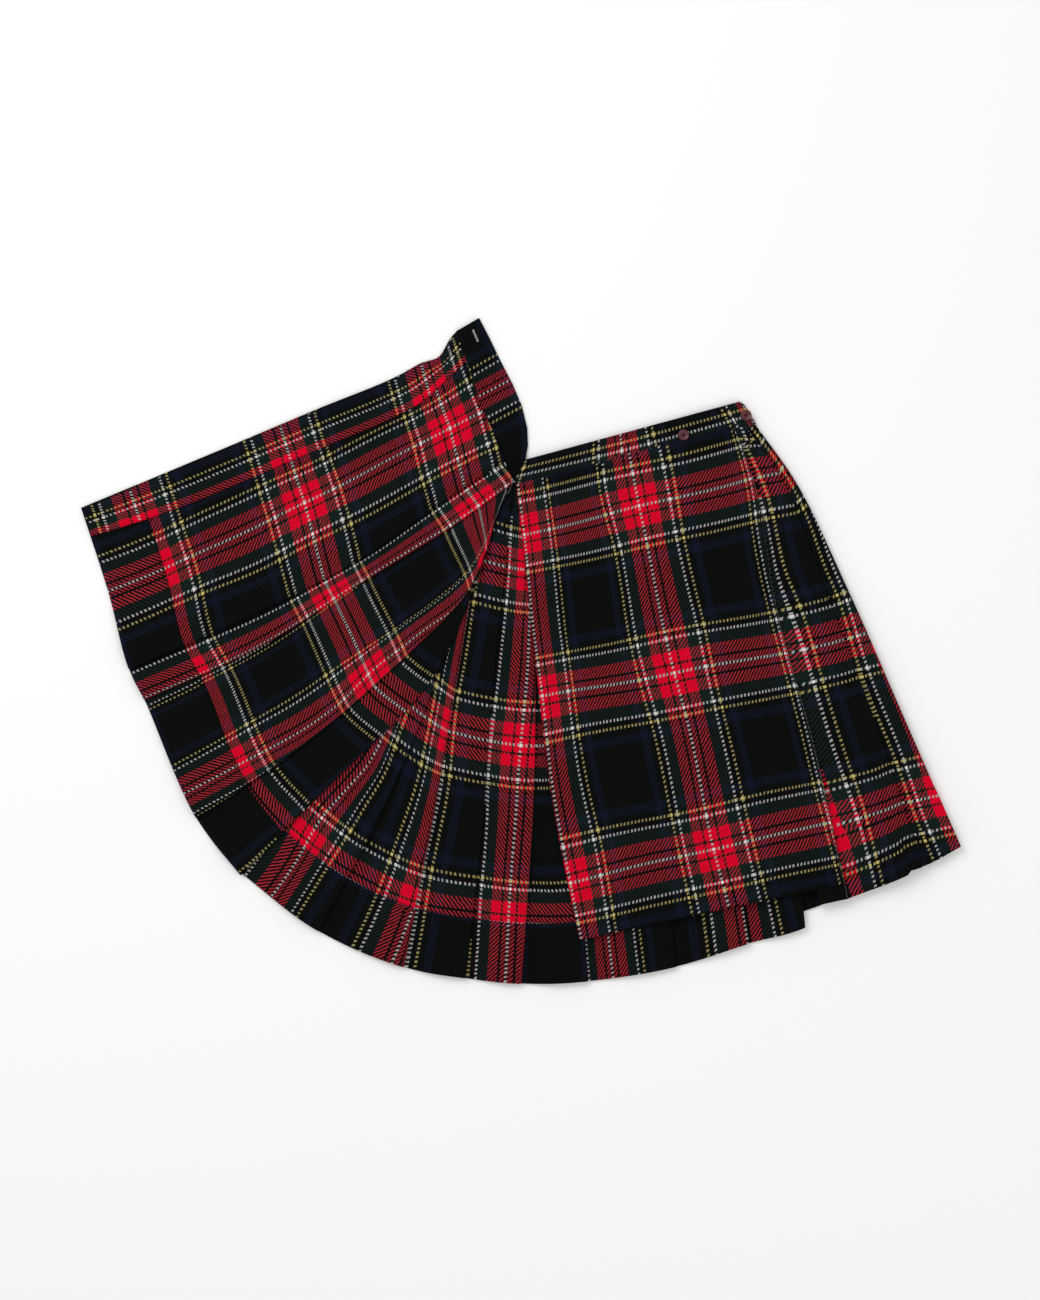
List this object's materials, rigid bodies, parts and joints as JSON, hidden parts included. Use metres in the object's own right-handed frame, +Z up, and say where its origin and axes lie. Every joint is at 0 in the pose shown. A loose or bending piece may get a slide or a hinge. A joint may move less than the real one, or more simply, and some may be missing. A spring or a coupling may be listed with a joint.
{
  "type": "pleated skirt",
  "caption": "Wrap kilt skirt in dark tartan wool, laid flat with its over-apron folded open to show the inside, turned-up hem, facing, waistband and buttons.",
  "frame": {"origin": "middle of the flat underside that rests on the surface", "axes": "+Z up from the surface, +Y from hem to waist, +X towards the wearer's closed side"},
  "size_m": [1.098, 0.8312, 0.0162],
  "materials": {
    "tartan_wool": "coarse black-ground tartan twill",
    "band_wool": "the same tartan twill, folded as a band",
    "button_resin": "glossy burgundy resin"
  },
  "bodies": {
    "root": {"over_apron": "tartan_wool", "front_facing": "tartan_wool", "back_pleats": "tartan_wool", "under_apron": "tartan_wool", "waistband": "band_wool", "button_1": "button_resin", "button_2": "button_resin"}
  },
  "joints": []
}
